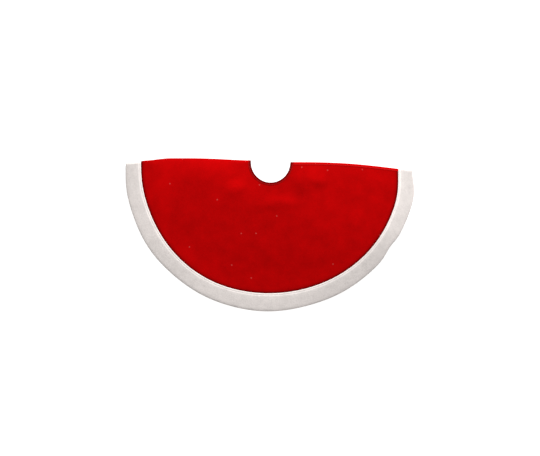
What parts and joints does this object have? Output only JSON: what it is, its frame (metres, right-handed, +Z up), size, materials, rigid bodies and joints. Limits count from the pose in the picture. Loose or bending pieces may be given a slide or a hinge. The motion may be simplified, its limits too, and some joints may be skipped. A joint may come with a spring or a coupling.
{
  "type": "tree skirt",
  "caption": "Round felt tree skirt with a plush border and a neck opening, folded in half along one diameter, its slit closed by hook and loop tabs.",
  "frame": {"origin": "centre of the neck opening, on the surface that the folded skirt lies on", "axes": "+X along the fold and slit line towards the slit, +Y away from the folded half discs, +Z up"},
  "size_m": [0.9, 0.457, 0.014],
  "materials": {
    "red_felt": "matte",
    "white_plush": "matte",
    "red_tape": "satin",
    "white_thread": "satin",
    "red_thread": "satin",
    "hook_tape": "matte",
    "loop_tape": "matte",
    "label_satin": "satin"
  },
  "bodies": {
    "lower_half": {"lower_felt_panel": "red_felt", "lower_border_band": "white_plush", "lower_border_stitching": "white_thread", "lower_opening_binding": "red_tape", "lower_binding_stitching": "red_thread", "hook_tab_neck": "hook_tape", "hook_tab_middle": "hook_tape", "hook_tab_hem": "hook_tape", "hook_tab_stitching": "red_thread", "care_label": "label_satin", "care_label_stitching": "white_thread", "felt_fold": "red_felt", "border_fold": "white_plush", "binding_fold": "red_tape"},
    "upper_half": {"upper_felt_panel": "red_felt", "upper_border_band": "white_plush", "upper_border_stitching": "white_thread", "upper_opening_binding": "red_tape", "upper_binding_stitching": "red_thread", "loop_tab_neck": "loop_tape", "loop_tab_middle": "loop_tape", "loop_tab_hem": "loop_tape", "loop_tab_stitching": "red_thread"}
  },
  "joints": [
    {"name": "unfold", "type": "hinge", "parent": "lower_half", "child": "upper_half", "pos_m": [0, 0, 0.007], "axis": [-1, 0, 0], "range_deg": [0, 180], "deforming": ["felt_fold", "border_fold", "binding_fold"]}
  ]
}
